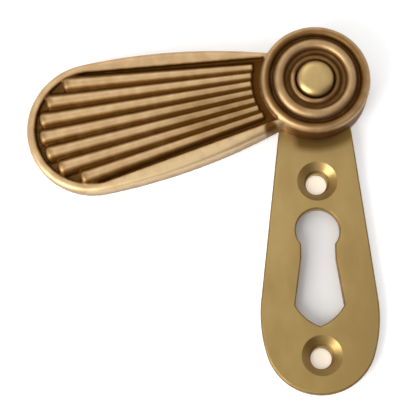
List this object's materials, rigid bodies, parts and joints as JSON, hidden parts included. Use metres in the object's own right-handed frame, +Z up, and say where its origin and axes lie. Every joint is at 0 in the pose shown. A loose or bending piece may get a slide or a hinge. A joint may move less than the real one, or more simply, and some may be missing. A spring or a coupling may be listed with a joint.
{
  "type": "keyhole escutcheon",
  "caption": "Brass keyhole escutcheon: a drop-shaped plate with a reeded cover that swings aside on a rivet",
  "frame": {"origin": "on the back face of the plate, which lies on the door, on the axis of the pivot rivet", "axes": "as fixed on a door: the front faces -Y, +Z is up, and the cover is swung aside towards -X"},
  "size_m": [0.0667, 0.009, 0.07],
  "materials": {
    "satin_brass": "satin brushed brass",
    "aged_brass": "polished brass with dark patina in the grooves",
    "rivet_brass": "polished brass"
  },
  "bodies": {
    "plate": {"backplate": "satin_brass", "pivot_rivet": "rivet_brass"},
    "cover": {"swing_cover": "aged_brass"}
  },
  "joints": [
    {"name": "cover_swing", "type": "hinge", "parent": "plate", "child": "cover", "pos_m": [0, -0.0054, 0], "axis": [0, -1, 0], "continuous": true}
  ]
}
